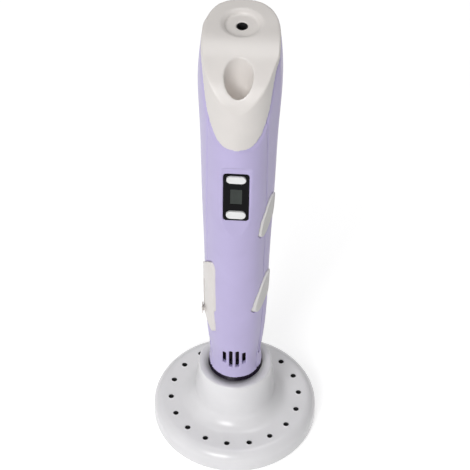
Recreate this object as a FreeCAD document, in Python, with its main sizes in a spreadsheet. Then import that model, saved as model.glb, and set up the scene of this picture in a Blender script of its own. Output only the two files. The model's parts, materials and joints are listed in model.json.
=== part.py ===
import FreeCAD, Part
import math
import os
from FreeCAD import Placement, Rotation, Vector

# Three-dimensional drawing pen standing nose down in its flared stand.
# Millimetres, +Z up, origin at the centre of the stand's underside.
# The pen's front, with the display, faces -Y; the feed buttons are on its +X side.

doc = FreeCAD.newDocument("drawing_pen")
sheet = doc.addObject("Spreadsheet::Sheet", "sizes")

SIZES = {
    # stand
    "stand_radius": 31.6, "disc_thickness": 10.0, "rim_top_rounding": 4.3, "rim_foot_rounding": 1.9,
    "flare_rounding": 6.0,
    "collar_foot_radius": 16.0, "collar_top_radius": 14.2, "collar_top": 30.3, "collar_rounding": 0.7,
    "well_radius": 10.4, "well_seat": 22.0, "well_shoulder": 1.5, "well_floor": 5.0,
    "rod_hole_radius": 1.1, "rod_circle_radius": 25.0, "rod_hole_phase": 6.06, "rod_hole_count": 18,
    "skin_thickness": 2.6, "plate_radius": 27.0, "plate_thickness": 1.6, "plate_clearance": 0.15,
    "well_wall": 1.8,
    # pen body: heights are above the shell's foot
    "shell_foot": 32.6, "shell_wall": 1.7, "shell_floor": 2.2, "seam_place": -5.2, "seam_gap": 0.08,
    "foot_half_width": 10.3, "foot_front": -11.0, "foot_back": 11.0,
    "waist_height": 5.4, "waist_half_width": 9.8, "waist_front": -10.5, "waist_back": 10.7,
    "nose_height": 14.0, "nose_half_width": 10.4, "nose_front": -11.5, "nose_back": 11.6,
    "grip_height": 30.0, "grip_half_width": 11.6, "grip_front": -12.2, "grip_back": 13.4,
    "middle_height": 58.0, "middle_half_width": 12.2, "middle_front": -12.8, "middle_back": 17.0,
    "screen_height": 88.0, "screen_half_width": 13.25, "screen_front": -12.7, "screen_back": 21.2,
    "shoulder_height": 118.0, "shoulder_half_width": 14.1, "shoulder_front": -12.1, "shoulder_back": 25.6,
    "tail_height": 143.0, "tail_half_width": 15.1, "tail_front": -11.2, "tail_back": 29.9,
    "top_height": 158.4, "top_half_width": 13.9, "top_front": -10.8, "top_back": 30.6,
    "squareness_foot": 2.0, "squareness_top": 2.5,
    "crown_centre": 14.0, "crown_reach": 27.0, "crown_drop": 26.5,
    "cap_gap": 0.15, "cap_wall": 1.9, "rebate_width": 0.75, "rebate_depth": 0.45,
    # filament entry and power inlet in the tail
    "funnel_place": -2.7, "funnel_centre": -3.4, "funnel_radius": 5.4, "funnel_length": 6.15, "funnel_depth": 19.0,
    "funnel_boss_wall": 1.2, "funnel_stem": 5.0,
    "filament_hole_radius": 1.25, "inlet_place": 18.0, "inlet_recess_radius": 6.15, "inlet_recess_depth": 1.5,
    "inlet_slope": 1.3, "inlet_hole_radius": 2.05, "jack_radius": 4.2, "jack_length": 12.0,
    "jack_pin_radius": 0.65,
    # display, front buttons
    "window_width": 9.1, "window_height": 22.8, "window_bottom": 121.0, "window_corner": 1.1,
    "window_thickness": 1.6, "window_clearance": 0.08, "land_depth_low": 1.25, "land_depth_high": 1.5,
    "screen_width": 4.4, "screen_tall": 7.4, "screen_bottom": 129.0, "key_travel": 0.4, "key_proud": 0.6,
    "upper_key_width": 7.1, "upper_key_tall": 3.3, "upper_key_centre": 141.4,
    "lower_key_width": 7.2, "lower_key_tall": 3.5, "lower_key_centre": 124.0, "key_clearance": 0.15,
    # side buttons and speed slider
    "leaf_long": 8.8, "leaf_short": 3.0, "leaf_angle": 65.5, "leaf_proud": 0.5, "leaf_clearance": 0.25,
    "leaf_travel": 0.5, "leaf_thickness": 1.7, "leaf_inner_x": 5.8, "switch_offset": 1.8,
    "feed_plunger_tip": 8.55, "retract_plunger_tip": 9.6, "feed_leaf_place": -5.3, "feed_leaf_height": 77.2,
    "retract_leaf_place": -4.0, "retract_leaf_height": 117.0,
    "trim_proud": 0.6, "trim_seat": 0.7, "trim_clearance": 0.12, "trim_bed_gap": 0.08,
    "slot_place": -3.0, "slot_low": 62.4, "slot_high": 80.8, "slot_width": 2.4, "knob_width": 3.4,
    "knob_tall": 3.2, "knob_stem": 1.8, "knob_stem_tall": 1.6, "knob_start": 63.6, "knob_proud": 0.5,
    "knob_gap": 0.1, "knob_travel": 16.0,
    # vents
    "vent_width": 1.25, "vent_pitch": 2.5, "vent_bottom": 38.2, "vent_top": 48.5,
    "vent_foot_step": 1.8, "vent_head_step": 1.3,
    # nose and hot end
    "nose_ring_radius": 10.2, "spigot_radius": 8.0, "spigot_length": 6.0, "spigot_clearance": 0.08,
    "nose_cone_foot": 12.0, "nose_cone_foot_radius": 4.7, "nose_bore_radius": 3.6, "nose_hollow_radius": 6.6,
    "tip_radius": 1.1, "tip_bottom": 7.0, "tip_shoulder": 11.0, "tip_top": 15.0, "tip_body_radius": 3.2,
    "outlet_radius": 0.35, "barrel_radius": 2.0, "barrel_bore": 1.0, "barrel_top": 41.0,
    "heater_radius": 3.2, "heater_bottom": 15.4, "heater_top": 27.0, "heater_gap": 0.05,
    "insulator_bottom": 33.0, "insulator_top": 38.6, "insulator_radius": 6.5,
    # drive
    "frame_bottom": 62.0, "frame_top": 77.0, "frame_plate": 2.0, "frame_low_x": -5.6, "frame_high_x": 5.0,
    "frame_back": 9.0, "motor_axis_place": 3.3, "motor_radius": 4.0,
    "motor_length": 20.0, "gearbox_length": 12.0, "screw_radius": 4.9, "screw_core": 4.3,
    "screw_pitch": 1.5, "screw_length": 9.0, "shaft_radius": 1.0, "roller_radius": 2.0,
    "roller_width": 2.4, "roller_place": -5.7, "roller_height": 69.5, "axle_radius": 0.6, "pivot_height": 75.0,
    "cheek_thickness": 1.0, "cheek_gap": 0.3, "tube_radius": 1.5, "tube_bore": 1.0, "running_gap": 0.05,
    # electronics
    "board_thickness": 1.0, "board_width": 11.6, "board_bottom": 104.0, "board_top": 146.0,
    "board_place": -8.2, "switch_side": 3.4, "switch_tall": 0.9, "key_depth": 1.2, "display_thickness": 0.8,
    "side_board_place": 5.6, "side_board_front": -6.2, "side_board_back": 4.4, "side_board_bottom": 72.0,
    "side_board_top": 126.0, "side_switch_tall": 1.6, "plunger_radius": 1.0,
    "track_place": -7.9, "track_depth": 1.8, "track_width": 3.0, "track_bottom": 60.6, "track_top": 83.0,
}
for row, (alias, value) in enumerate(SIZES.items(), 1):
    sheet.set(f"A{row}", alias)
    sheet.set(f"B{row}", str(value))
    sheet.setAlias(f"B{row}", alias)
doc.recompute()

NODES = []
CYCLE = Rotation(Vector(1, 1, 1), 120)
ALONG_X = Rotation(Vector(0, 1, 0), 90)
ALONG_Y = Rotation(Vector(1, 0, 0), -90)


def size(alias):
    return float(sheet.get(alias))


def bind(item, **expressions):
    for name, expression in expressions.items():
        item.setExpression(name.replace("__", "."), expand(expression))


def expand(expression):
    """Write a bare alias as the sheet's own cell."""
    words = sorted(SIZES, key=len, reverse=True)
    out, place = "", 0
    while place < len(expression):
        for word in words:
            end = place + len(word)
            before = expression[place - 1] if place else " "
            after = expression[end] if end < len(expression) else " "
            plain_before = not (before.isalnum() or before in "_.")
            if expression.startswith(word, place) and plain_before and not (after.isalnum() or after == "_"):
                out += "sizes." + word
                place = end
                break
        else:
            out += expression[place]
            place += 1
    return out


def placed(item, x, y, z, turn=None):
    if turn is not None:
        item.Placement = Placement(Vector(), turn)
    bind(item, Placement__Base__x=x, Placement__Base__y=y, Placement__Base__z=z)
    return item


def rod(name, radius, length, x="0", y="0", z="0", turn=None):
    item = doc.addObject("Part::Cylinder", name)
    bind(item, Radius=radius, Height=length)
    return placed(item, x, y, z, turn)


def cone(name, low, high, length, x="0", y="0", z="0", turn=None):
    item = doc.addObject("Part::Cone", name)
    bind(item, Radius1=low, Radius2=high, Height=length)
    return placed(item, x, y, z, turn)


def block(name, wide, deep, tall, x, y, z, turn=None):
    """A box centred on x, starting at y and z."""
    item = doc.addObject("Part::Box", name)
    bind(item, Length=wide, Width=deep, Height=tall)
    return placed(item, f"{x} - ({wide}) / 2", y, z, turn)


def cut(name, base, tool):
    item = doc.addObject("Part::Cut", name)
    item.Base, item.Tool = base, tool
    return item


def cut_each(name, base, tools):
    """Cut one tool after another; the last cut carries the name."""
    for number, tool in enumerate(tools, 1):
        last = number == len(tools)
        base = cut(name if last else f"{name}_{number}", base, tool)
    return base


def fuse(name, *pieces):
    item = doc.addObject("Part::MultiFuse", name)
    item.Shapes = list(pieces)
    return item


def common(name, *pieces):
    item = doc.addObject("Part::MultiCommon", name)
    item.Shapes = list(pieces)
    return item


def piece(item):
    NODES.append(item)
    return item


def rounded(name, base, picks):
    """Fillet the edges of a finished base; picks pairs a test on an edge with a radius."""
    doc.recompute()
    item = doc.addObject("Part::Fillet", name)
    item.Base = base
    chosen = []
    for number, edge in enumerate(base.Shape.Edges, 1):
        for test, radius in picks:
            if test(edge):
                chosen.append((number, radius, radius))
    item.Edges = chosen
    return item


def is_ring(radius, height):
    """A test for a circular edge of this radius at this height."""
    def test(edge):
        box = edge.BoundBox
        flat = abs(box.ZMin - height) < 0.01 and abs(box.ZMax - height) < 0.01
        return flat and abs(box.XMax - radius) < 0.01
    return test


def outline_prism(name, points, low_x, high_x, periodic=True, closing=()):
    """A smooth outline through (y, z) points, pulled along X from low_x to high_x."""
    spots = [Vector(low_x, y, z) for y, z in points]
    curve = Part.BSplineCurve()
    curve.interpolate(spots, PeriodicFlag=periodic)
    edges = [curve.toShape()]
    if closing:
        corners = [spots[-1]] + [Vector(low_x, y, z) for y, z in closing] + [spots[0]]
        edges += [Part.makeLine(a, b) for a, b in zip(corners, corners[1:])]
    item = doc.addObject("Part::Feature", name)
    item.Shape = Part.Face(Part.Wire(edges)).extrude(Vector(high_x - low_x, 0, 0))
    return item


# Pen body: rounded sections from the foot to the top, squarer towards the tail's back.
STATIONS = ["foot", "waist", "nose", "grip", "middle", "screen", "shoulder", "tail", "top"]
HALF_POINTS = 9


def station_height(station):
    above = 0.0 if station == "foot" else size(station + "_height")
    return size("shell_foot") + above


def between(values, heights, height):
    """A value at any height, on a smooth curve through the stations' values."""
    spans = list(zip(heights, values))
    slopes = [(after[1] - before[1]) / (after[0] - before[0])
              for before, after in zip(spans[:1] + spans[:-1], spans[1:] + spans[-1:])]
    low = max(number for number, foot in enumerate(heights[:-1]) if foot <= height)
    gap = heights[low + 1] - heights[low]
    share = (height - heights[low]) / gap
    return ((1 - share) ** 2 * ((1 + 2 * share) * values[low] + share * gap * slopes[low])
            + share ** 2 * ((3 - 2 * share) * values[low + 1] + (share - 1) * gap * slopes[low + 1]))


STATION_HEIGHTS = [station_height(station) for station in STATIONS]
EVEN_GAP = 16.0
levels = []
for foot, head in zip(STATION_HEIGHTS, STATION_HEIGHTS[1:]):
    parts = max(1, round((head - foot) / EVEN_GAP))
    levels += [foot + (head - foot) * number / parts for number in range(parts)]
levels.append(STATION_HEIGHTS[-1])


def section(name, height, inset):
    half_width, front, back = (between([size(f"{station}_{word}") for station in STATIONS], STATION_HEIGHTS, height)
                               for word in ("half_width", "front", "back"))
    half_width -= inset
    front += inset
    back -= inset
    share = (height - size("shell_foot")) / size("top_height")
    square = size("squareness_foot") + share * (size("squareness_top") - size("squareness_foot"))
    middle, half_depth = (front + back) / 2, (back - front) / 2
    halves = []
    for side, power in ((1, 2 / square), (-1, 2 / size("squareness_foot"))):
        spots = []
        for step in range(HALF_POINTS):
            angle = math.pi * step / (HALF_POINTS - 1)
            across, along = math.cos(angle), math.sin(angle)
            x = side * half_width * math.copysign(abs(across) ** power, across)
            spots.append(Vector(x, middle + side * half_depth * abs(along) ** power, 0))
        curve = Part.BSplineCurve()
        curve.interpolate(spots, InitialTangent=Vector(0, side, 0), FinalTangent=Vector(0, -side, 0))
        halves.append(curve.toShape())
    item = doc.addObject("Part::Feature", name)
    item.Shape = Part.Wire(halves)
    item.Placement = Placement(Vector(0, 0, height), Rotation())
    return item


def body_blank(name, inset):
    item = doc.addObject("Part::Loft", name)
    item.Sections = [section(f"{name}_{number}", height, inset) for number, height in enumerate(levels)]
    item.Solid = True
    return item


skin_blank = body_blank("skin_blank", 0.0)
cavity_blank = body_blank("cavity_blank", size("shell_wall"))
seat_blank = body_blank("seat_blank", size("trim_seat"))
proud_blank = body_blank("proud_blank", -size("trim_proud"))
rebate_blank = body_blank("rebate_blank", size("rebate_depth"))
doc.recompute()

# Crown: the domed top line, a quarter ellipse in front and level behind.
SPAN = "80"
top_level = "shell_foot + top_height"


def crown(name, lower):
    dome = doc.addObject("Part::Ellipse", name + "_dome_line")
    bind(dome, MajorRadius="crown_reach", MinorRadius="crown_drop")
    dome.Placement = Placement(Vector(), CYCLE)
    bind(dome, Placement__Base__x="0", Placement__Base__y="crown_centre",
         Placement__Base__z=f"{top_level} - crown_drop - {lower}")
    solid = doc.addObject("Part::Extrusion", name + "_dome")
    solid.Base = dome
    solid.DirMode = "Custom"
    solid.Dir = Vector(1, 0, 0)
    solid.Symmetric = True
    solid.Solid = True
    bind(solid, LengthFwd=SPAN)
    level = block(name + "_level", SPAN, "40", f"crown_drop + 5", "0", "crown_centre",
                  f"{top_level} - crown_drop - 5 - {lower}")
    below = block(name + "_below", SPAN, "100", f"{top_level} - crown_drop - {lower}", "0", "-50", "0")
    return fuse(name, solid, level, below)


crown_keep = crown("crown_keep", "0")
crown_low = crown("crown_low", "cap_wall")
outer = common("outer_form", skin_blank, crown_keep)
above_floor = block("above_floor", SPAN, SPAN, "200", "0", "-40", "shell_foot + shell_floor")
hollow = common("hollow_form", cavity_blank, above_floor)

# Parting line between the tail cap and the shells, seen from the side.
top_z = size("shell_foot") + size("top_height")
PARTING = [(-12.6, 156.2), (-10.6, 157.6), (-7.3, 163.4), (-4.6, 170.5), (-2.5, 177.2), (0.0, 183.0),
           (4.0, 187.2), (10.0, 188.9), (20.0, 189.2), (36.0, 189.3)]
PARTING = [(y, z - 191.0 + top_z) for y, z in PARTING]
BEYOND = 45.0


def cap_region(name, back, down):
    points = [(y + back, z - down) for y, z in PARTING]
    closing = [(points[-1][0], top_z + 10), (-BEYOND, top_z + 10), (-BEYOND, points[0][1])]
    return outline_prism(name, points, -BEYOND, BEYOND, periodic=False, closing=closing)


cap_zone = cap_region("cap_zone", 0.0, 0.0)
gap_zone = cap_region("gap_zone", size("cap_gap"), size("cap_gap"))
rebate_zone = cap_region("rebate_zone", size("rebate_width"), size("rebate_width"))
rebate_ring = cut("rebate_ring", rebate_zone, rebate_blank)

# Tail cap with the filament funnel and the power inlet's recess.
funnel_top = f"{top_level} - 1"
cap_block = common("cap_block", outer, cap_zone)
cap_hollow = common("cap_hollow", cavity_blank, crown_low)
cap_shell = cut("cap_shell", cap_block, cap_hollow)
funnel_boss = rod("funnel_boss", "funnel_length + funnel_boss_wall", "30", y="funnel_centre",
                  z=f"{funnel_top} - funnel_depth - funnel_stem")
inlet_boss = rod("inlet_boss", "inlet_recess_radius + 1.5", "20", y="inlet_place",
                 z=f"{top_level} - inlet_recess_depth - 2.2")
bosses = common("cap_bosses", fuse("boss_pair", funnel_boss, inlet_boss), outer)
funnel = doc.addObject("Part::Ellipsoid", "funnel")
bind(funnel, Radius1="funnel_depth", Radius2="funnel_radius", Radius3="funnel_length")
placed(funnel, "0", "funnel_centre", funnel_top)
funnel_hole = rod("funnel_hole", "filament_hole_radius", "60", y="funnel_place", z=f"{funnel_top} - 40")
recess = rod("inlet_recess", "inlet_recess_radius", "10", y="inlet_place",
             z=f"{top_level} - inlet_recess_depth")
recess_slope = cone("inlet_recess_slope", "inlet_recess_radius", "inlet_recess_radius + 2 * inlet_slope",
                    "inlet_slope", y="inlet_place", z=f"{top_level} - 0.6 * inlet_slope")
inlet_hole = rod("inlet_hole", "inlet_hole_radius", "20", y="inlet_place", z=f"{top_level} - 10")
cap_tools = fuse("cap_tools", funnel, funnel_hole, recess, recess_slope, inlet_hole)
tail_cap = piece(cut("tail_cap", fuse("cap_with_bosses", cap_shell, bosses), cap_tools))

# Flat land round the display, fading out below it.
front_low = size("screen_front") + size("land_depth_low")
front_high = size("shoulder_front") + size("land_depth_high")
land_points = [(front_low, size("window_bottom") - 0.5), (front_high, size("window_bottom") + 25.6),
               (front_high - 2.0, size("window_bottom") + 28.2), (-40, size("window_bottom") + 28.2),
               (-40, size("window_bottom") - 9.0), (front_low - 1.6, size("window_bottom") - 9.0)]
land = doc.addObject("Part::Feature", "display_land")
land_corners = [Vector(-12, y, z) for y, z in land_points]
land.Shape = Part.Face(Part.makePolygon(land_corners + land_corners[:1])).extrude(Vector(24, 0, 0))

window_middle = size("window_bottom") + size("window_height") / 2
window_lean = math.degrees(math.atan2(front_high - front_low, 26.1))
window_front = front_low + (front_high - front_low) * (size("window_height") / 2 + 0.5) / 26.1


def front_stadium(name, wide, tall, deep, height, face, corner=None):
    """A rounded plate parallel to the land, centred at this height."""
    half, rise = wide / 2, tall / 2
    bend = rise if corner is None else corner
    plate = Part.makeBox(wide, deep, tall, Vector(-half, 0, -rise))
    uprights = [edge for edge in plate.Edges if abs(edge.Vertexes[0].Y - edge.Vertexes[1].Y) > deep / 2]
    item = doc.addObject("Part::Feature", name)
    item.Shape = plate.makeFillet(bend * 0.999, uprights)
    turn = Rotation(Vector(1, 0, 0), -window_lean)
    along = (height - window_middle) / math.cos(math.radians(window_lean))
    middle = Vector(0, window_front, window_middle)
    item.Placement = Placement(middle + turn.multVec(Vector(0, face, along)), turn)
    return item


# Side leaves: slender ovals in the side view.
def leaf_region(name, place, height, grow, low_x, high_x):
    turn = math.radians(size("leaf_angle"))
    points = []
    for step in range(16):
        angle = 2 * math.pi * step / 16
        u = (size("leaf_long") + grow) * math.cos(angle)
        v = (size("leaf_short") + grow) * math.sin(angle)
        points.append((size(place) + u * math.cos(turn) - v * math.sin(turn),
                       size(height) + u * math.sin(turn) + v * math.cos(turn)))
    return outline_prism(name, points, low_x, high_x)


LEAVES = {"feed_button": ("feed_leaf_place", "feed_leaf_height"),
          "retract_button": ("retract_leaf_place", "retract_leaf_height")}
leaf_blank = body_blank("leaf_blank", -size("leaf_proud"))
leaf_back = body_blank("leaf_back", size("leaf_thickness") - size("leaf_proud"))
leaf_holes = []
for name, (place, height) in LEAVES.items():
    zone = leaf_region(name + "_zone", place, height, 0.0, size("leaf_inner_x"), 30.0)
    shaped = common(name + "_face", zone, leaf_blank)
    piece(cut(name, shaped, leaf_back))
    leaf_holes.append(leaf_region(name + "_hole", place, height, size("leaf_clearance"),
                                  size("leaf_inner_x") - size("leaf_travel") - size("leaf_clearance"), 30.0))

# Trim with the speed slider's slot, on the other side.
TRIM = [(-8.9, 61.5), (-7.8, 57.0), (-6.6, 58.4), (-4.4, 60.2), (0.2, 61.6), (3.3, 65.6), (4.2, 73.0),
        (3.2, 81.0), (-0.2, 86.2), (-4.0, 90.2), (-6.8, 93.4), (-8.2, 94.4), (-9.1, 92.9), (-9.4, 89.5),
        (-9.4, 83.0), (-9.4, 76.0), (-9.3, 69.0)]
trim_zone = outline_prism("trim_zone", TRIM, -30.0, -3.0)


def widened(points, clearance):
    """Move each point of an outline out along its own normal."""
    out = []
    for before, (y, z), after in zip(points[-1:] + points[:-1], points, points[1:] + points[:1]):
        along = Vector(0, after[0] - before[0], after[1] - before[1]).normalize()
        out.append((y + clearance * along.z, z - clearance * along.y))
    return out


trim_seat_zone = outline_prism("trim_seat_zone", widened(TRIM, size("trim_clearance")), -30.0, -3.0)
bed_blank = body_blank("bed_blank", size("trim_seat") + size("trim_bed_gap"))
slot = block("slider_slot", "20", "slot_width", "slot_high - slot_low", "-12.5",
             "slot_place - slot_width / 2", "slot_low")
trim_plate = cut("trim_plate", common("trim_block", trim_zone, proud_blank), seat_blank)
piece(cut("slider_trim", trim_plate, slot))
trim_recess = cut("trim_recess", trim_seat_zone, bed_blank)

# Vent slots round the nose: four at the front, the back and each side.
vents = []
for turn in range(4):
    for index in range(4):
        edge_slot = index in (0, 3)
        foot = size("vent_bottom") + (size("vent_foot_step") if edge_slot else 0)
        head = size("vent_top") - (size("vent_head_step") if edge_slot else 0)
        left = (index - 1.5) * size("vent_pitch") - size("vent_width") / 2
        slab = Part.makeBox(size("vent_width"), 12.0, head - foot, Vector(left, -17.0, foot))
        slab.rotate(Vector(), Vector(0, 0, 1), 90 * turn)
        vents.append(slab)
vent_slots = doc.addObject("Part::Feature", "vent_slots")
vent_slots.Shape = Part.makeCompound(vents)

# Shells: one hollow form, parted at the seam.
spigot_hole = rod("spigot_hole", "spigot_radius + spigot_clearance", "10", z="shell_foot - 1")
window_hole = front_stadium("window_hole", size("window_width") + 2 * size("window_clearance"),
                            size("window_height") + 2 * size("window_clearance"), 12.0, window_middle, -6.0,
                            size("window_corner"))
pad_front = block("window_pad", "window_width + 4", "8.2", "window_height + 8", "0", "-16.5",
                  "window_bottom - 4")

front_box = block("front_box", SPAN, "40 + seam_place - seam_gap / 2", "250", "0", "-40", "0")
back_box = block("back_box", SPAN, "60", "250", "0", "seam_place + seam_gap / 2", "0")
inlet_clear = rod("inlet_clear", "inlet_recess_radius + 1.7", "20", y="inlet_place",
                  z=f"{top_level} - inlet_recess_depth - 2.4")

# Three screws from the back pass through columns that the seam parts.
SCREW_PLACES = [(-1, 8.0, 99.0), (-1, 7.5, 150.0), (1, 7.5, 150.0)]
COLUMN_RADIUS = 2.8
THREAD_RADIUS = 0.9
HEAD_RADIUS = 1.75
HEAD_SEAT = "seam_place + 6"
columns, screw_holes, screw_solids = [], [], []
for number, (side, across, height) in enumerate(SCREW_PLACES, 1):
    spot = (str(side * across), str(height), ALONG_Y)
    columns.append(rod(f"column_{number}", str(COLUMN_RADIUS), SPAN, spot[0], "-40", *spot[1:]))
    screw_holes.append(rod(f"thread_hole_{number}", str(THREAD_RADIUS), "8.5", spot[0], "seam_place - 2",
                           *spot[1:]))
    screw_holes.append(rod(f"head_hole_{number}", str(HEAD_RADIUS + 0.15), "40", spot[0], HEAD_SEAT, *spot[1:]))
    shank = rod(f"shank_{number}", str(THREAD_RADIUS), "7.5", spot[0], f"{HEAD_SEAT} - 7.5", *spot[1:])
    head = rod(f"head_{number}", str(HEAD_RADIUS), "1.4", spot[0], HEAD_SEAT, *spot[1:])
    screw_solids.append(fuse(f"screw_{number}", shank, head))

shell_form = cut("shell_form", outer, gap_zone)
front_form = cut_each("front_form", common("front_solid", shell_form, front_box), [rebate_ring, land, trim_recess])
rear_form = cut_each("rear_form", common("rear_solid", shell_form, back_box), [rebate_ring, trim_recess])
hollow_left = cut_each("hollow_left", hollow, [pad_front, *columns])
front_walls = cut("front_walls", front_form, hollow_left)
rear_walls = cut("rear_walls", rear_form, hollow_left)
piece(cut_each("front_shell", front_walls, [window_hole, vent_slots, spigot_hole, *leaf_holes, *screw_holes[::2]]))
piece(cut_each("rear_shell", rear_walls, [slot, vent_slots, spigot_hole, *leaf_holes, *screw_holes]))
screws = doc.addObject("Part::Compound", "shell_screws")
screws.Links = screw_solids
piece(screws)

# Display: black window with two key holes, clear lens, display behind it, two front keys.
window_plate = front_stadium("window_plate", size("window_width"), size("window_height"),
                             size("window_thickness"), window_middle, 0.0, size("window_corner"))
KEYS = {"temp_up_button": "upper_key", "temp_down_button": "lower_key"}
key_holes = []
for name, key in KEYS.items():
    wide, tall, height = (size(key + word) for word in ("_width", "_tall", "_centre"))
    gap = 2 * size("key_clearance")
    key_holes.append(front_stadium(name + "_hole", wide + gap, tall + gap, 6.0, height, -2.0))
    piece(front_stadium(name, wide, tall, size("key_proud") + size("key_depth"), height, -size("key_proud")))
lens_middle = size("screen_bottom") + size("screen_tall") / 2
lens_hole = front_stadium("lens_hole", size("screen_width"), size("screen_tall"), 6.0, lens_middle, -2.0, 0.4)
piece(cut_each("display_window", window_plate, [*key_holes, lens_hole]))
lens_gap = 0.1
piece(front_stadium("screen_lens", size("screen_width") - lens_gap, size("screen_tall") - lens_gap,
                    size("window_thickness") - 0.2, lens_middle, 0.15, 0.35))
piece(front_stadium("display_module", size("screen_width") + 3, size("screen_tall") + 3,
                    size("display_thickness"), lens_middle, size("window_thickness") + 0.08, 0.5))
piece(block("main_board", "board_width", "board_thickness", "board_top - board_bottom", "0", "board_place",
            "board_bottom"))
switches = [block(f"front_switch_{key}", "switch_side", "switch_tall - 0.05", "switch_side", "0",
                  "board_place - switch_tall", f"{key}_centre - switch_side / 2") for key in KEYS.values()]
front_switches = doc.addObject("Part::Compound", "front_switches")
front_switches.Links = switches
piece(front_switches)

# Side buttons' board and switches.
piece(block("side_board", "board_thickness", "side_board_back - side_board_front",
            "side_board_top - side_board_bottom", "side_board_place + board_thickness / 2", "side_board_front",
            "side_board_bottom"))
side_face = "side_board_place + board_thickness"
side_parts = []
for name in ("feed", "retract"):
    tip = name + "_plunger_tip"
    name += "_leaf"
    spot = f"{name}_place + switch_offset"
    side_parts.append(block(name + "_switch", "side_switch_tall", "switch_side", "switch_side",
                            f"{side_face} + side_switch_tall / 2", f"{spot} - switch_side / 2",
                            f"{name}_height - switch_side / 2"))
    side_parts.append(rod(name + "_plunger", "plunger_radius", f"{tip} - ({side_face} + side_switch_tall)",
                          f"{side_face} + side_switch_tall", spot, f"{name}_height", ALONG_X))
side_switches = doc.addObject("Part::Compound", "side_switches")
side_switches.Links = [fuse(f"side_switch_{n}", *side_parts[2 * n:2 * n + 2]) for n in (0, 1)]
piece(side_switches)

# Speed knob and the slide control behind it, leaning with the pen's side.
slope = (size("middle_half_width") - size("grip_half_width")) / (size("middle_height") - size("grip_height"))
knob_width_here = size("grip_half_width") + slope * (size("knob_start") - size("shell_foot") - size("grip_height"))
side_lean = Rotation(Vector(0, 1, 0), -math.degrees(math.atan(slope)))


def leaning(name, wide, deep, tall, outer_face, rounding=0.0):
    """A block whose outer face lies this far left of the pen's side at the knob's height."""
    solid = Part.makeBox(wide, deep, tall, Vector(-outer_face, -deep / 2, -tall / 2))
    if rounding:
        solid = solid.makeFillet(rounding, [edge for edge in solid.Edges if edge.BoundBox.XMax < 0.01 - outer_face])
    item = doc.addObject("Part::Feature", name)
    item.Shape = solid
    item.Placement = Placement(Vector(-knob_width_here, size("slot_place"), size("knob_start")), side_lean)
    return item


knob_face = size("trim_proud") + size("knob_gap")
knob_head = leaning("knob_head", size("knob_proud"), size("knob_width"), size("knob_tall"),
                    knob_face + size("knob_proud"), 0.4)
stem_inner = knob_width_here + size("track_place") - 0.4
knob_stem = leaning("knob_stem", stem_inner + knob_face + 0.3, size("knob_stem"), size("knob_stem_tall"),
                    knob_face + 0.3)
piece(fuse("speed_knob", knob_head, knob_stem))
track_middle = (size("track_bottom") + size("track_top")) / 2
track = doc.addObject("Part::Feature", "speed_slider_track")
track_box = Part.makeBox(size("track_depth"), size("track_width"), size("track_top") - size("track_bottom"),
                         Vector(0, -size("track_width") / 2, size("track_bottom") - size("knob_start")))
track.Shape = track_box
track.Placement = Placement(Vector(size("track_place"), size("slot_place"), size("knob_start")), side_lean)
piece(track)

# Nose ring and hot end.
ring_band = rod("ring_band", "nose_ring_radius", "shell_foot - well_seat", z="well_seat")
ring_cone = cone("ring_cone", "nose_cone_foot_radius", "well_radius - well_shoulder - 0.4",
                 "well_seat - nose_cone_foot", z="nose_cone_foot")
ring_spigot = rod("ring_spigot", "spigot_radius", "spigot_length + 1", z="shell_foot - 1")
ring_bore = rod("ring_bore", "nose_bore_radius", "60", z="nose_cone_foot - 1")
ring_hollow = rod("ring_hollow", "nose_hollow_radius", "60", z="well_seat - 1")
nose_blank = fuse("nose_blank", ring_band, ring_cone, ring_spigot)
piece(cut_each("nose_ring", nose_blank, [ring_bore, ring_hollow]))
tip_cone = cone("tip_cone", "tip_radius", "tip_body_radius", "tip_shoulder - tip_bottom", z="tip_bottom")
tip_body = rod("tip_body", "tip_body_radius", "tip_top - tip_shoulder", z="tip_shoulder")
tip_bore = rod("tip_bore", "outlet_radius", "20", z="tip_bottom - 1")
piece(cut("ceramic_nozzle", fuse("tip_blank", tip_cone, tip_body), tip_bore))


def tube(name, radius, bore, length, *spot, turn=None):
    return piece(cut(name, rod(name + "_out", radius, length, *spot, turn=turn),
                     rod(name + "_bore", bore, length, *spot, turn=turn)))


tube("heater_barrel", "barrel_radius", "barrel_bore", "barrel_top - tip_top", "0", "0", "tip_top")
tube("heater_sleeve", "heater_radius", "barrel_radius + heater_gap", "heater_top - heater_bottom", "0", "0",
     "heater_bottom")
tube("insulating_ring", "insulator_radius", "barrel_radius + heater_gap", "insulator_top - insulator_bottom",
     "0", "0", "insulator_bottom")
piece(rod("thermistor", "0.8", "2.6", "barrel_radius + 0.85", "0", "heater_top + 0.2"))

# Filament path: guide tube above the drive, leaning liner below it.
tube("guide_tube", "tube_radius", "tube_bore", f"{funnel_top} - funnel_depth - funnel_stem - frame_top - frame_plate",
     "0", "funnel_place", "frame_top + frame_plate")
liner_foot = Vector(0, 0, size("barrel_top") + 0.5)
liner_head = Vector(0, size("funnel_place"), size("frame_bottom") - 0.6)
liner_turn = Rotation(Vector(0, 0, 1), liner_head - liner_foot)
tube("inner_liner", "tube_radius", "tube_bore", str(round((liner_head - liner_foot).Length - 0.2, 3)),
     "0", "0", "barrel_top + 0.5", turn=liner_turn)

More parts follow.
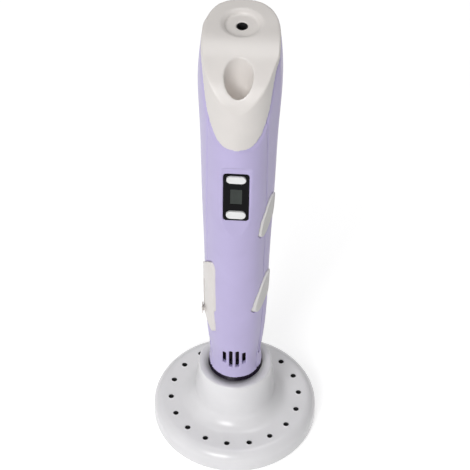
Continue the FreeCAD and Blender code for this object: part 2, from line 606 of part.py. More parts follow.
# Drive frame, gear motor and feed screw.
frame_blank = body_blank("frame_blank", size("shell_wall") + 0.15)
frame_wide = "frame_high_x - frame_low_x"
frame_x = "(frame_high_x + frame_low_x) / 2"
low_plate = block("low_plate", frame_wide, "60", "frame_plate", frame_x, "-9", "frame_bottom")
high_plate = block("high_plate", frame_wide, "60", "frame_plate", frame_x, "-9", "frame_top")
frame_wall = block("frame_wall", frame_wide, "1.6", "frame_top - frame_bottom", frame_x, "frame_back",
                   "frame_bottom + frame_plate / 2")
cheek_out = "roller_width / 2 + cheek_gap + cheek_thickness"
ears = [block(f"ear_{side}", "cheek_thickness", "3", "frame_top - pivot_height + 2.2",
              f"{side} * ({cheek_out} + cheek_gap + cheek_thickness / 2)", "roller_place - 1.5",
              "pivot_height - 1.6") for side in (-1, 1)]
frame_stock = common("frame_stock", fuse("frame_sum", low_plate, high_plate, frame_wall, *ears), frame_blank)
shaft_hole = rod("shaft_hole", "shaft_radius + running_gap", "40", y="motor_axis_place", z="frame_bottom - 5")
path_hole = rod("path_hole", "tube_bore", "40", y="funnel_place", z="frame_bottom - 5")
pin_hole = rod("pin_hole", "axle_radius", "20", "-10", "roller_place", "pivot_height", ALONG_X)
piece(cut_each("drive_frame", frame_stock, [shaft_hole, path_hole, pin_hole]))
pin_half = f"{cheek_out} + cheek_gap + cheek_thickness"
piece(rod("lever_pin", "axle_radius", f"2 * ({pin_half})", f"-({pin_half})", "roller_place", "pivot_height",
          ALONG_X))
gearbox_foot = "frame_top + frame_plate"
gearbox_can = rod("gearbox_can", "motor_radius", "gearbox_length", y="motor_axis_place", z=gearbox_foot)
gearbox_hole = rod("gearbox_hole", "shaft_radius + running_gap", "4", y="motor_axis_place", z=gearbox_foot)
piece(cut("gearbox", gearbox_can, gearbox_hole))
piece(rod("drive_motor", "motor_radius - 0.1", "motor_length", y="motor_axis_place",
          z=f"{gearbox_foot} + gearbox_length"))
shaft = rod("screw_shaft", "shaft_radius", "frame_top + frame_plate + 3 - frame_bottom - 0.4",
            y="motor_axis_place", z="frame_bottom + 0.4")
screw_foot = "frame_bottom + frame_plate + 1"
core = rod("screw_core", "screw_core", "screw_length", y="motor_axis_place", z=screw_foot)
threads = []
for turn in range(int(size("screw_length") / size("screw_pitch"))):
    foot = f"{screw_foot} + {turn} * screw_pitch"
    threads.append(cone(f"thread_rise_{turn}", "screw_core", "screw_radius", "screw_pitch / 2",
                        y="motor_axis_place", z=foot))
    threads.append(cone(f"thread_fall_{turn}", "screw_radius", "screw_core", "screw_pitch / 2",
                        y="motor_axis_place", z=f"{foot} + screw_pitch / 2"))
piece(fuse("feed_screw", shaft, core, *threads))

# Pressure roller on its swinging lever.
roller_spot = ("roller_place", "roller_height")
roller_wheel = rod("roller_wheel", "roller_radius", "roller_width", "-roller_width / 2", *roller_spot, ALONG_X)
roller_bore = rod("roller_bore", "axle_radius + running_gap", "10", "-5", *roller_spot, ALONG_X)
piece(cut("pressure_roller", roller_wheel, roller_bore))
cheeks = [block(f"cheek_{side}", "cheek_thickness", "3", "pivot_height - roller_height + 3",
                f"{side} * ({cheek_out} - cheek_thickness / 2)", "roller_place - 1.5", "roller_height - 1.5")
          for side in (-1, 1)]
lever_back = block("lever_back", f"2 * ({cheek_out})", "1", "pivot_height - roller_height + 3", "0",
                   "roller_place - roller_radius - 1.5", "roller_height - 1.5")
webs = [block(f"web_{side}", "cheek_thickness", "roller_radius + 1", "pivot_height - roller_height + 3",
              f"{side} * ({cheek_out} - cheek_thickness / 2)", "roller_place - roller_radius - 1",
              "roller_height - 1.5") for side in (-1, 1)]
axle = rod("roller_axle", "axle_radius", f"2 * ({cheek_out}) - 0.2", f"-({cheek_out}) + 0.1", *roller_spot,
           ALONG_X)
lever_pin_hole = rod("lever_pin_hole", "axle_radius + running_gap", "20", "-10", "roller_place",
                     "pivot_height", ALONG_X)
piece(cut("pressure_lever", fuse("lever_sum", *cheeks, *webs, lever_back, axle), lever_pin_hole))

# Power jack under the tail's recess.
jack_top = f"{top_level} - inlet_recess_depth - 2.3"
jack_can = rod("jack_can", "jack_radius", "jack_length", y="inlet_place", z=f"{jack_top} - jack_length")
jack_bore = rod("jack_bore", "inlet_hole_radius - 0.3", "jack_length", y="inlet_place",
                z=f"{jack_top} - jack_length + 1.5")
piece(cut("power_jack", jack_can, jack_bore))
piece(rod("jack_pin", "jack_pin_radius", "jack_length - 3", y="inlet_place", z=f"{jack_top} - jack_length + 1.5"))

# Stand: flared disc and collar, with the pen's well and the ring of rod holes.
disc = rod("disc", "stand_radius", "disc_thickness")
rim_radius = size("stand_radius")
rim = rounded("rim", disc, [(is_ring(rim_radius, 0), size("rim_foot_rounding")),
                            (is_ring(rim_radius, size("disc_thickness")), size("rim_top_rounding"))])
collar = cone("collar", "collar_foot_radius", "collar_top_radius", "collar_top - disc_thickness",
              z="disc_thickness")
stand_sum = fuse("stand_sum", rim, collar)
stand_outer = rounded("stand_outer", stand_sum,
                      [(is_ring(size("collar_foot_radius"), size("disc_thickness")), size("flare_rounding")),
                       (is_ring(size("collar_top_radius"), size("collar_top")), size("collar_rounding"))])
well = rod("well", "well_radius", "60", z="well_seat")
low_well = rod("low_well", "well_radius - well_shoulder", "60", z="well_floor")
plate_recess = rod("plate_recess", "plate_radius + plate_clearance", "plate_thickness")
under = rod("under_room", "plate_radius", "disc_thickness - skin_thickness - plate_thickness",
            z="plate_thickness")
under_core = rod("under_core", "well_radius - well_shoulder + well_wall", "20")
rod_holes = []
for number in range(int(size("rod_hole_count"))):
    angle = math.radians(size("rod_hole_phase") + 360 * number / size("rod_hole_count"))
    rod_holes.append(rod(f"rod_hole_{number}", "rod_hole_radius", "20",
                         f"rod_circle_radius * {math.cos(angle):.6f}",
                         f"rod_circle_radius * {math.sin(angle):.6f}", "plate_thickness"))
stand_tools = [well, low_well, plate_recess, cut("under_ring", under, under_core), fuse("rod_holes", *rod_holes)]
piece(cut_each("stand_body", stand_outer, stand_tools))
piece(rod("base_plate", "plate_radius", "plate_thickness"))

doc.recompute()
os.makedirs("parts", exist_ok=True)
failed = [f"{item.Name}: {item.getStatusString()}" for item in doc.Objects
          if "Invalid" in item.State or "Error" in item.State]
failed += [f"{item.Label}: bad shape" for item in NODES if item.Shape.isNull() or not item.Shape.isValid()]
if failed:
    raise RuntimeError("; ".join(failed))
for item in NODES:
    print(item.Label, len(item.Shape.Solids), "solid,", round(item.Shape.Volume, 1), "cubic mm")
    item.Shape.exportStep(f"parts/{item.Label}.step")
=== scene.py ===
# %% [markdown]
# # A 3-D drawing pen standing nose down in its flared stand
# The moulded parts come from the fixed CAD frame, which holds their sizes and joints.
# This file gives them their light, their finishes and the soft edges of real mouldings.
# Everything is in metres, with +Z up and the pen's display facing -Y.

# %% Load the frame
import bpy
import bmesh
import json
import math
from mathutils import Matrix, Vector
from mathutils.bvhtree import BVHTree

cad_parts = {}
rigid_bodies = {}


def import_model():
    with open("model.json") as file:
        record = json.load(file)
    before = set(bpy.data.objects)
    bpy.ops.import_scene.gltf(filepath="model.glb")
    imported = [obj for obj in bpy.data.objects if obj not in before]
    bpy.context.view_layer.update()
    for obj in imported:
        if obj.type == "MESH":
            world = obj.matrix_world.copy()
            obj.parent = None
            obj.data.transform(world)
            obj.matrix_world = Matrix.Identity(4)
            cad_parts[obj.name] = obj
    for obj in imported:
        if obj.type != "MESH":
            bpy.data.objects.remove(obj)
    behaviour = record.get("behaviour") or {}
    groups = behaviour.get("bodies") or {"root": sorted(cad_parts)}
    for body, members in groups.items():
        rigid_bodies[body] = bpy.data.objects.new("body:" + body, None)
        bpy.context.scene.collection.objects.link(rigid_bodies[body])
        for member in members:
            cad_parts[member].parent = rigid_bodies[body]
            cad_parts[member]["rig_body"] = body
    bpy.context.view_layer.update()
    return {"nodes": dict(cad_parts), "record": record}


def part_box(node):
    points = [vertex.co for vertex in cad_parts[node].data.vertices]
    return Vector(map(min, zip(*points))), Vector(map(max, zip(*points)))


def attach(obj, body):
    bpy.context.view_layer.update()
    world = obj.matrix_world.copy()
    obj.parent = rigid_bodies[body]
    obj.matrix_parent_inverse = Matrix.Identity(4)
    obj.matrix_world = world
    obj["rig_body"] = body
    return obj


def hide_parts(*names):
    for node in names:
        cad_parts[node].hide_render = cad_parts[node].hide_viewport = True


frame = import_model()
MM = 0.001
scene = bpy.context.scene
scene.view_settings.view_transform = "Standard"

# %% [markdown]
# ## Small helpers for objects
# Every piece, lamp and camera enters the scene the same way, and every piece made with modifiers
# ends as a plain mesh.

# %% Object helpers


def shown(name, data):
    """A new object in the scene that holds this data."""
    item = bpy.data.objects.new(name, data)
    scene.collection.objects.link(item)
    return item


def flattened(item):
    """Turns a piece and its modifiers into a plain mesh."""
    graph = bpy.context.evaluated_depsgraph_get()
    mesh = bpy.data.meshes.new_from_object(item.evaluated_get(graph))
    item.modifiers.clear()
    item.data = mesh
    return mesh


def coat_with(mesh, material):
    """Gives a mesh this one material."""
    mesh.materials.clear()
    mesh.materials.append(material)


# %% [markdown]
# ## The camera
# The photograph looks down at about 47 degrees from a little to the right of the pen's front. Its
# place was worked out from the round stand: a circle seen from above is an ellipse, and the
# ellipse's two widths give the height of the eye. The lens is long, so the pen hardly tapers.

# %% Camera
EYE_DISTANCE = 731.1 * MM
EYE_HEIGHT = 877.5 * MM
EYE_TURN = math.radians(2.7)
EYE_ROLL = math.radians(0.76)
LENS = 220.75
SENSOR_WIDTH = 36
PHOTO_WIDTH = 470
PHOTO_SHIFT = 2.0
LOOK_LEVEL, LOOK_DOWN = 0.6856, 0.7280

outward = Vector((math.sin(EYE_TURN), -math.cos(EYE_TURN), 0))
look = -LOOK_LEVEL * outward + Vector((0, 0, -LOOK_DOWN))
upright = -LOOK_DOWN * outward + Vector((0, 0, LOOK_LEVEL))
across = look.cross(upright)
right = across * math.cos(EYE_ROLL) + upright * math.sin(EYE_ROLL)
up = upright * math.cos(EYE_ROLL) - across * math.sin(EYE_ROLL)

camera = shown("camera", bpy.data.cameras.new("camera"))
turn = Matrix((right, up, -look)).transposed().to_4x4()
eye = outward * EYE_DISTANCE + Vector((0, 0, EYE_HEIGHT))
camera.matrix_world = Matrix.Translation(eye) @ turn
camera.data.lens = LENS
camera.data.sensor_width = SENSOR_WIDTH
camera.data.shift_x = -PHOTO_SHIFT / PHOTO_WIDTH
camera.data.clip_start = 0.1
camera.data.clip_end = 20
scene.camera = camera
print("camera at", [round(value, 3) for value in camera.location])

# %% [markdown]
# ## Small helpers for node trees
# A finish is a chain of shader nodes. These helpers add one node at a time, set its inputs by
# name and link what is handed in, so that each finish below reads as a short recipe.

# %% Node helpers


def add(tree, kind, settings=None, **inputs):
    """Adds a node, sets its properties, then sets or links its inputs by name."""
    node = tree.nodes.new(kind)
    for word, value in (settings or {}).items():
        setattr(node, word, value)
    for word, value in inputs.items():
        socket = node.inputs[word.replace("_", " ")]
        if isinstance(value, bpy.types.NodeSocket):
            tree.links.new(value, socket)
        else:
            socket.default_value = value
    return node


def mix(tree, share, first, second):
    """Mixes two colours by a share from 0 to 1."""
    node = tree.nodes.new("ShaderNodeMix")
    node.data_type = "RGBA"
    for socket, value in ((node.inputs[0], share), (node.inputs[6], first), (node.inputs[7], second)):
        if isinstance(value, bpy.types.NodeSocket):
            tree.links.new(value, socket)
        else:
            socket.default_value = value
    return node.outputs[2]


def spread(tree, value, low, high, start=0.3, end=0.7):
    """Moves a pattern's values from start..end to low..high."""
    node = add(tree, "ShaderNodeMapRange", Value=value, From_Min=start, From_Max=end,
               To_Min=low, To_Max=high)
    return node.outputs[0]


def noise(tree, place, size, detail):
    """A noise pattern whose blots are about this size."""
    return add(tree, "ShaderNodeTexNoise", Vector=place, Scale=1 / size, Detail=detail).outputs[0]


def times(tree, first, second):
    """The product of a pattern and another pattern or number."""
    node = add(tree, "ShaderNodeMath", {"operation": "MULTIPLY"})
    for socket, value in zip(node.inputs, (first, second)):
        if isinstance(value, bpy.types.NodeSocket):
            tree.links.new(value, socket)
        else:
            socket.default_value = value
    return node.outputs[0]


def started(name):
    """A new material, with its tree, its shader and the place on the piece."""
    material = bpy.data.materials.new(name)
    material.use_nodes = True
    tree = material.node_tree
    place = add(tree, "ShaderNodeTexCoord").outputs["Object"]
    return material, tree, tree.nodes["Principled BSDF"], place


def roughen(tree, shader, height, strength, depth):
    """Lets a pattern stand up from the surface by this depth."""
    bump = add(tree, "ShaderNodeBump", Height=height, Strength=strength, Distance=depth)
    tree.links.new(bump.outputs[0], shader.inputs["Normal"])


def tint(colour, factor):
    return tuple(min(1.0, channel * factor) for channel in colour[:3]) + (1.0,)


def srgb(red, green, blue):
    """A colour as a screen shows it, 0 to 255, turned to the linear values that light needs."""
    return tuple(((value / 255 + 0.055) / 1.055) ** 2.4 if value > 10 else value / 255 / 12.92
                 for value in (red, green, blue)) + (1.0,)


# %% [markdown]
# ## Moulded plastic
# Injection-moulded plastic is never one flat colour. Its surface copies the fine etched grain of
# the steel mould, its pigment flows in faint clouds, handling polishes some places more than
# others, and fine dust settles where a face looks up. Four noise patterns at their real sizes
# make these: clouds of a centimetre or two, polish of a few millimetres, specks and grain below one.

# %% Moulded plastic
CLOUD_SIZE, POLISH_SIZE, SPECK_SIZE, GRAIN_SIZE = 14 * MM, 3.5 * MM, 0.8 * MM, 0.35 * MM
SPECK_START, SPECK_FULL = 0.58, 0.75
DUST_START, DUST_SHARE = 0.6, 0.05
SPECK_SHADE, DUST_SHADE = 0.6, 1.08
POLISHED, WORN = 0.02, 0.03
GRAIN_DEPTH = 0.02 * MM
PLASTIC_IOR = 1.5
COAT_ROUGHNESS = 0.12


def plastic(name, colour, roughness, grain=0.25, cloud=0.03, coat=0.0, speck=0.02, shine=0.5):
    material, tree, shader, place = started(name)
    clouds = noise(tree, place, CLOUD_SIZE, 3.0)
    polish = noise(tree, place, POLISH_SIZE, 4.0)
    specks = noise(tree, place, SPECK_SIZE, 2.0)
    body = mix(tree, spread(tree, clouds, 0.0, 1.0), tint(colour, 1 - cloud), tint(colour, 1 + cloud))
    speckled = spread(tree, specks, 0.0, speck, SPECK_START, SPECK_FULL)
    body = mix(tree, speckled, body, tint(colour, SPECK_SHADE))
    normal = add(tree, "ShaderNodeNewGeometry").outputs["Normal"]
    upward = add(tree, "ShaderNodeSeparateXYZ", Vector=normal).outputs[2]
    dusty = times(tree, spread(tree, upward, 0.0, DUST_SHARE, DUST_START, 1.0), polish)
    tree.links.new(mix(tree, dusty, body, tint(colour, DUST_SHADE)), shader.inputs["Base Color"])
    worn = spread(tree, polish, roughness - POLISHED, roughness + WORN)
    tree.links.new(worn, shader.inputs["Roughness"])
    roughen(tree, shader, noise(tree, place, GRAIN_SIZE, 2.0), grain, GRAIN_DEPTH)
    shader.inputs["IOR"].default_value = PLASTIC_IOR
    shader.inputs["Specular IOR Level"].default_value = shine
    shader.inputs["Coat Weight"].default_value = coat
    shader.inputs["Coat Roughness"].default_value = COAT_ROUGHNESS
    return material


finishes = {
    "lavender_plastic": plastic("lavender shell", srgb(200, 190, 231), 0.36, coat=0.08, shine=0.4,
                                speck=0.012),
    "warm_white_plastic": plastic("warm white cap", srgb(234, 229, 225), 0.3, coat=0.1, speck=0.008),
    "stand_white_plastic": plastic("white stand", srgb(243, 242, 244), 0.24, coat=0.2, speck=0.008),
    "white_button_plastic": plastic("white keys", srgb(246, 246, 246), 0.42, speck=0.01),
    "leaf_grey_plastic": plastic("grey leaves", srgb(226, 224, 222), 0.48, grain=0.4),
    "black_plastic": plastic("black window", srgb(9, 8, 12), 0.24, grain=0.05, speck=0.1, shine=0.08),
    "nose_black": plastic("nose band", srgb(28, 17, 38), 0.4, grain=0.3, speck=0.1, shine=0.2),
    "ceramic": plastic("ceramic", srgb(240, 236, 224), 0.6, grain=0.5, speck=0.05),
    "slippery_tube": plastic("slippery tube", srgb(238, 238, 232), 0.3, grain=0.1),
    "component_black": plastic("black component", srgb(40, 40, 42), 0.55, grain=0.5, speck=0.1),
}
print("moulded finishes:", ", ".join(finishes))

# %% [markdown]
# ## Metal, board and screen
# Turned metal shows rings of fine tool marks round its axis, so its pattern is a noise squeezed
# along Z. A printed board has lacquered tracks in rows. The display is off: behind its glass the
# liquid crystal shows only a faint grid of cells.

# %% Metal, board and screen
TOOL_MARKS = (200, 200, 6000)
STAIN_SIZE, STAIN_SHADE = 4 * MM, 0.88
MARK_DEPTH = 0.01 * MM
TRACK_PITCH, TRACK_DEPTH = 4 * MM, 0.03 * MM
GRIME_SIZE = 2 * MM
CELL_SIZE, WASH_SIZE = 0.6 * MM, 5 * MM
UPRIGHT = (math.pi / 2, 0, 0)


def metal(name, colour, roughness):
    material, tree, shader, place = started(name)
    rings = add(tree, "ShaderNodeMapping", Vector=place, Scale=TOOL_MARKS).outputs[0]
    marks = noise(tree, rings, 1.0, 4.0)
    stain = noise(tree, place, STAIN_SIZE, 3.0)
    stained = mix(tree, spread(tree, stain, 0.0, 1.0), tint(colour, STAIN_SHADE), colour)
    tree.links.new(stained, shader.inputs["Base Color"])
    turned = spread(tree, marks, roughness - 0.08, roughness + 0.12)
    tree.links.new(turned, shader.inputs["Roughness"])
    roughen(tree, shader, marks, 0.3, MARK_DEPTH)
    shader.inputs["Metallic"].default_value = 1.0
    return material


def board(name):
    material, tree, shader, place = started(name)
    flat = add(tree, "ShaderNodeMapping", Vector=place, Rotation=UPRIGHT).outputs[0]
    tracks = add(tree, "ShaderNodeTexBrick", Vector=flat, Scale=1 / TRACK_PITCH,
                 Color1=srgb(28, 92, 52), Color2=srgb(24, 80, 46), Mortar=srgb(96, 128, 62),
                 Mortar_Size=0.03)
    grime = noise(tree, place, GRIME_SIZE, 3.0)
    tree.links.new(tracks.outputs["Color"], shader.inputs["Base Color"])
    tree.links.new(spread(tree, grime, 0.3, 0.5), shader.inputs["Roughness"])
    roughen(tree, shader, tracks.outputs["Fac"], 0.4, TRACK_DEPTH)
    return material


def screen(name):
    material, tree, shader, place = started(name)
    flat = add(tree, "ShaderNodeMapping", Vector=place, Rotation=UPRIGHT).outputs[0]
    cells = add(tree, "ShaderNodeTexBrick", {"offset": 0.0}, Vector=flat, Scale=1 / CELL_SIZE,
                Color1=srgb(64, 70, 66), Color2=srgb(60, 66, 62), Mortar=srgb(52, 58, 55),
                Mortar_Size=0.06, Brick_Width=0.5, Row_Height=0.5)
    wash = noise(tree, place, WASH_SIZE, 2.0)
    washed = mix(tree, spread(tree, wash, 0.0, 0.35), cells.outputs["Color"], srgb(44, 48, 47))
    tree.links.new(washed, shader.inputs["Base Color"])
    tree.links.new(spread(tree, wash, 0.12, 0.2), shader.inputs["Roughness"])
    shader.inputs["Specular IOR Level"].default_value = 0.2
    return material


finishes["brass"] = metal("brass", srgb(214, 178, 104), 0.3)
finishes["steel"] = metal("steel", srgb(190, 190, 194), 0.32)
finishes["circuit_board"] = board("printed board")
finishes["screen_glass"] = screen("display glass")

slots = {part["node"]: part["material_slot"] for part in frame["record"]["subparts"]}
looks = {node: finishes[slot] for node, slot in slots.items()}
looks["insulating_ring"] = plastic("heat-stained ring", srgb(70, 58, 60), 0.7, grain=0.5, cloud=0.15)
for node, item in frame["nodes"].items():
    coat_with(item.data, looks[node])
print("finishes given to", len(slots), "nodes")

# %% [markdown]
# ## Smooth mouldings
# The frame's meshes are loose triangles, which shade as tiny facets. A copy whose corners are
# merged can shade smoothly over gentle bends and stay crisp at real edges. The copy stands for
# its node, which stays in the physics.

# %% Smooth copies
SHARP = math.radians(32)
MERGE_REACH = 0.0005 * MM


def own_copy(node):
    """A merged copy of a node's mesh, as a piece of its own."""
    mesh = bpy.data.meshes.new(node + "_skin")
    shape = bmesh.new()
    shape.from_mesh(frame["nodes"][node].data)
    bmesh.ops.remove_doubles(shape, verts=shape.verts, dist=MERGE_REACH)
    shape.to_mesh(mesh)
    shape.free()
    coat_with(mesh, looks[node])
    return shown(node + "_skin", mesh)


def settle(item, node):
    """Lets a finished piece stand for its node and move with the node's body."""
    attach(item, frame["nodes"][node]["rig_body"])
    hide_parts(node)
    return item


def shade(mesh, sharp=SHARP):
    mesh.shade_smooth()
    mesh.set_sharp_from_angle(angle=sharp)


for node in ("stand_body", "nose_ring"):
    skin = own_copy(node)
    shade(skin.data)
    settle(skin, node)
    print(skin.name, len(skin.data.polygons), "triangles")

# %% [markdown]
# ## Soft edges on the mouldings
# Shells, cap, keys, side buttons, trim and knob leave the mould with edges rounded by a few
# tenths of a millimetre, and those edges catch the light as a thin bright line. A voxel remesh
# followed by a smoothing turns every sharp edge to a small round one, which a bevel can't do
# safely on a triangulated mesh. Along the seam between the two shells the real edges are crisp,
# so the vertices there go back to the nearest point of the moulded form.

# %% Softened copies
SEAM_PLACE = -5.2 * MM
SEAM_REACH = 1.3 * MM


def near_seam(point):
    return abs(point.y - SEAM_PLACE) < SEAM_REACH


def soften(node, voxel, passes, keep=None):
    """Rounds the edges of a copy by about a voxel or two, but not where keep says."""
    item = own_copy(node)
    places = [vertex.co for vertex in item.data.vertices]
    exact = BVHTree.FromPolygons(places, [face.vertices for face in item.data.polygons])
    remesh = item.modifiers.new("remesh", "REMESH")
    remesh.mode = "VOXEL"
    remesh.voxel_size = voxel
    smooth = item.modifiers.new("smooth", "SMOOTH")
    smooth.factor = 0.5
    smooth.iterations = passes
    mesh = flattened(item)
    coat_with(mesh, looks[node])
    low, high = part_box(node)
    for vertex in mesh.vertices:
        if keep and keep(vertex.co):
            vertex.co = exact.find_nearest(vertex.co)[0]
        vertex.co = [min(max(value, least), most)
                     for value, least, most in zip(vertex.co, low, high)]
    mesh.shade_smooth()
    print(item.name, len(mesh.polygons), "faces")
    return item


SMALL_MOULDINGS = (("temp_up_button", 0.09, 8), ("temp_down_button", 0.09, 8), ("feed_button", 0.14, 8),
                   ("retract_button", 0.14, 8), ("slider_trim", 0.14, 3), ("speed_knob", 0.09, 5),
                   ("tail_cap", 0.32, 7))
for node, voxel, passes in SMALL_MOULDINGS:
    settle(soften(node, voxel * MM, passes), node)

# %% [markdown]
# ## Shells with their vents
# The vents are narrow slots, sixteen in four groups round the nose, with the outer two of each
# group shorter. A remesh coarse enough for a whole shell would half close them, so they are cut
# again afterwards with a Boolean, by plain bars of the slots' own sizes.

# %% Shells and vents
VENT_WIDTH, VENT_PITCH = 1.25 * MM, 2.5 * MM
VENT_FOOT, VENT_HEAD = 38.2 * MM, 48.5 * MM
VENT_FOOT_STEP, VENT_HEAD_STEP = 1.8 * MM, 1.3 * MM
VENT_NEAR, VENT_FAR = 7 * MM, 17 * MM
VENTS_ON_A_SIDE = 4
SHELL_SHARP = math.radians(50)

bars = bmesh.new()
for side in range(4):
    facing = Matrix.Rotation(side * math.pi / 2, 4, "Z")
    for number in range(VENTS_ON_A_SIDE):
        outer = number in (0, VENTS_ON_A_SIDE - 1)
        foot = VENT_FOOT + (VENT_FOOT_STEP if outer else 0)
        head = VENT_HEAD - (VENT_HEAD_STEP if outer else 0)
        along = (number - (VENTS_ON_A_SIDE - 1) / 2) * VENT_PITCH
        middle = Matrix.Translation((along, -(VENT_NEAR + VENT_FAR) / 2, (foot + head) / 2))
        size = Matrix.Diagonal((VENT_WIDTH, VENT_FAR - VENT_NEAR, head - foot, 1))
        bmesh.ops.create_cube(bars, size=1.0, matrix=facing @ middle @ size)
bar_mesh = bpy.data.meshes.new("vent_bars")
bars.to_mesh(bar_mesh)
bars.free()
vent_bars = shown("vent_bars", bar_mesh)

for node, voxel, passes in (("front_shell", 0.4, 5), ("rear_shell", 0.6, 4)):
    shell = soften(node, voxel * MM, passes, near_seam)
    cut = shell.modifiers.new("vents", "BOOLEAN")
    cut.operation = "DIFFERENCE"
    cut.object = vent_bars
    mesh = flattened(shell)
    coat_with(mesh, looks[node])
    shade(mesh, SHELL_SHARP)
    settle(shell, node)
    triangles = sum(len(face.vertices) - 2 for face in mesh.polygons)
    print(shell.name, triangles, "triangles after the vents")
bpy.data.objects.remove(vent_bars)

# %% [markdown]
# ## The rod holes
# Each hole in the stand's disc has a low rounded lip, and a dark sleeve inside is painted shade
# that darkens the hole. Eighteen rings on one circle are a rule, so Geometry Nodes lay them out: a
# mesh circle gives the places, and a swept ring is instanced on each point. The lip's profile is
# round and the painted shade sleeve's is an upright rectangle.

# %% Rings on a circle
RING_STEPS = 28
LIP_STEPS = 10


def ring_tree(name, material, upright):
    tree = bpy.data.node_groups.new(name, "GeometryNodeTree")
    face = tree.interface
    face.new_socket("Geometry", in_out="OUTPUT", socket_type="NodeSocketGeometry")
    face.new_socket("Count", in_out="INPUT", socket_type="NodeSocketInt")
    for label in ("Circle Radius", "Ring Radius", "Thickness", "Tall", "Height", "Phase"):
        face.new_socket(label, in_out="INPUT", socket_type="NodeSocketFloat")
    given = tree.nodes.new("NodeGroupInput").outputs
    result = tree.nodes.new("NodeGroupOutput")
    circle = add(tree, "GeometryNodeMeshCircle", Vertices=given["Count"],
                 Radius=given["Circle Radius"])
    lift = add(tree, "ShaderNodeCombineXYZ", Z=given["Height"])
    spin = add(tree, "ShaderNodeCombineXYZ", Z=given["Phase"])
    placed = add(tree, "GeometryNodeTransform", Geometry=circle.outputs[0], Translation=lift.outputs[0],
                 Rotation=spin.outputs[0])
    path = add(tree, "GeometryNodeCurvePrimitiveCircle", Radius=given["Ring Radius"],
               Resolution=RING_STEPS)
    if upright:
        profile = add(tree, "GeometryNodeCurvePrimitiveQuadrilateral", Width=given["Thickness"],
                      Height=given["Tall"])
    else:
        profile = add(tree, "GeometryNodeCurvePrimitiveCircle", Radius=given["Thickness"],
                      Resolution=LIP_STEPS)
    ring = add(tree, "GeometryNodeCurveToMesh", Curve=path.outputs[0],
               Profile_Curve=profile.outputs[0])
    spots = add(tree, "GeometryNodeInstanceOnPoints", Points=placed.outputs[0],
                Instance=ring.outputs[0])
    real = add(tree, "GeometryNodeRealizeInstances", Geometry=spots.outputs[0])
    coloured = add(tree, "GeometryNodeSetMaterial", Geometry=real.outputs[0], Material=material)
    tree.links.new(coloured.outputs[0], result.inputs[0])
    return tree


def grown(name, tree, values):
    """Runs a geometry tree with these named inputs and keeps the result as a plain mesh."""
    item = shown(name, bpy.data.meshes.new(name))
    modifier = item.modifiers.new("grow", "NODES")
    modifier.node_group = tree
    for socket in tree.interface.items_tree:
        if socket.in_out == "INPUT" and socket.name in values:
            modifier[socket.identifier] = values[socket.name]
    mesh = flattened(item)
    shape = bmesh.new()
    shape.from_mesh(mesh)
    bmesh.ops.recalc_face_normals(shape, faces=shape.faces)
    shape.to_mesh(mesh)
    shape.free()
    mesh.shade_smooth()
    return item


# %% Lips of the rod holes and their painted shade sleeves
CIRCLE = {"Count": 18, "Circle Radius": 25 * MM, "Phase": math.radians(6.06)}
RINGS = {"rod_hole_lips": ("stand_white_plastic", False,
                           {"Ring Radius": 1.2 * MM, "Thickness": 0.14 * MM, "Height": 9.98 * MM}),
         # The dark sleeves are painted shade that darkens each hole inside.
         "rod_hole_painted_shade": ("component_black", True,
                              {"Ring Radius": 1.02 * MM, "Thickness": 0.1 * MM, "Tall": 2.2 * MM,
                               "Height": 8.7 * MM})}
for name, (slot, upright, sizes) in RINGS.items():
    rings = grown(name, ring_tree(name, finishes[slot], upright), {**CIRCLE, **sizes})
    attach(rings, "stand")
    print(name, len(rings.data.polygons), "faces")

# %% [markdown]
# ## The mouth of the power inlet
# The plug's hole in the cap is lined with a black tube of painted shade, so that the hole
# looks black right up to its rim. The tube is a short one: two circles at each end, joined in
# a closed chain of four walls.

# %% Mouth of the power inlet
# A black tube of painted shade lines the plug's hole up to its rim.
INLET_SHADE_Y = 18.0 * MM
INLET_SHADE_OUTER, INLET_SHADE_INNER = 1.98 * MM, 1.75 * MM
INLET_SHADE_LOW, INLET_SHADE_HIGH = 187.35 * MM, 189.3 * MM
INLET_SHADE_STEPS = 48

EDGES = ((INLET_SHADE_OUTER, INLET_SHADE_LOW), (INLET_SHADE_OUTER, INLET_SHADE_HIGH),
         (INLET_SHADE_INNER, INLET_SHADE_HIGH), (INLET_SHADE_INNER, INLET_SHADE_LOW))
points, faces = [], []
for edge, (radius, height) in enumerate(EDGES):
    this, following = edge * INLET_SHADE_STEPS, (edge + 1) % len(EDGES) * INLET_SHADE_STEPS
    for step in range(INLET_SHADE_STEPS):
        angle, after = 2 * math.pi * step / INLET_SHADE_STEPS, (step + 1) % INLET_SHADE_STEPS
        points.append((radius * math.cos(angle), INLET_SHADE_Y + radius * math.sin(angle), height))
        faces.append((this + step, this + after, following + after, following + step))
inlet_shade_mesh = bpy.data.meshes.new("inlet_painted_shade")
inlet_shade_mesh.from_pydata(points, [], faces)
inlet_shade_mesh.materials.append(finishes["component_black"])
shade(inlet_shade_mesh)
inlet_shade_tube = shown("inlet_painted_shade", inlet_shade_mesh)
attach(inlet_shade_tube, "pen")
print(inlet_shade_tube.name, len(faces), "faces")

# %% [markdown]
# ## Floor
# The photograph's ground is plain white paper. A wide floor keeps the soft shadow, and its
# own glow, seen only by the camera and by reflections, takes it to white without more lamplight.

# %% Floor
FLOOR_SIDE = 6.0
FLOOR_GLOW = 0.5
PAPER_DARK, PAPER_PALE = (0.85, 0.85, 0.85, 1), (0.87, 0.87, 0.87, 1)
FIBRE_SIZE = 2 * MM


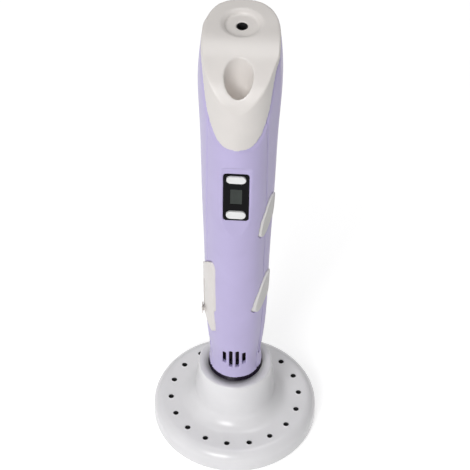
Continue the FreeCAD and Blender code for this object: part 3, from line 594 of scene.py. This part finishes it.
def floor_material():
    material, tree, shader, place = started("white paper")
    fibres = spread(tree, noise(tree, place, FIBRE_SIZE, 3.0), 0.0, 1.0)
    tree.links.new(mix(tree, fibres, PAPER_DARK, PAPER_PALE), shader.inputs["Base Color"])
    shader.inputs["Roughness"].default_value = 0.9
    shader.inputs["Specular IOR Level"].default_value = 0.1
    light = add(tree, "ShaderNodeLightPath").outputs
    seen = add(tree, "ShaderNodeMath", {"operation": "MAXIMUM"})
    tree.links.new(light["Is Camera Ray"], seen.inputs[0])
    tree.links.new(light["Is Glossy Ray"], seen.inputs[1])
    tree.links.new(times(tree, seen.outputs[0], FLOOR_GLOW), shader.inputs["Emission Strength"])
    shader.inputs["Emission Color"].default_value = (1, 1, 1, 1)
    return material


half = FLOOR_SIDE / 2
corners = [(-half, -half, 0), (half, -half, 0), (half, half, 0), (-half, half, 0)]
floor_mesh = bpy.data.meshes.new("floor")
floor_mesh.from_pydata(corners, [], [(0, 1, 2, 3)])
floor_mesh.materials.append(floor_material())
shown("floor", floor_mesh)
print("floor", FLOOR_SIDE, "m wide")

# %% [markdown]
# ## Light
# A studio shot of a small white and pastel object uses large soft boxes. The main one hangs in
# front and a little to the left, at about the height of the camera. A weaker one above fills the
# cap and the stand's disc, and the pale room fills the rest.

# %% Light
AIM = (0, 0, 0.1)


def softbox(name, place, side, power):
    lamp = bpy.data.lights.new(name, "AREA")
    lamp.shape = "RECTANGLE"
    lamp.size, lamp.size_y = side
    lamp.energy = power
    item = shown(name, lamp)
    item.location = place
    item.rotation_euler = (Vector(AIM) - Vector(place)).to_track_quat("-Z", "Y").to_euler()


softbox("main box", (-0.45, -1.45, 0.95), (0.7, 0.9), 15)
softbox("top box", (0.1, 0.3, 1.6), (0.8, 0.7), 5)

# %% [markdown]
# The room itself is lighter on the left than on the right. The world's colour follows the direction
# that a ray leaves in, and the camera sees it as plain white.

# %% Room
LEFT_LIGHT, RIGHT_LIGHT = 0.44, 0.16

world = bpy.data.worlds.new("pale room")
world.use_nodes = True
scene.world = world
sky = world.node_tree
leaving = add(sky, "ShaderNodeTexCoord").outputs["Generated"]
sideways = add(sky, "ShaderNodeSeparateXYZ", Vector=leaving).outputs[0]
level = spread(sky, sideways, LEFT_LIGHT, RIGHT_LIGHT, -1.0, 1.0)
seen = add(sky, "ShaderNodeLightPath").outputs["Is Camera Ray"]
grey = mix(sky, seen, level, (1, 1, 1, 1))
sky.links.new(grey, sky.nodes["Background"].inputs["Color"])
sky.nodes["Background"].inputs["Strength"].default_value = 1.0
print("two boxes and a pale room")
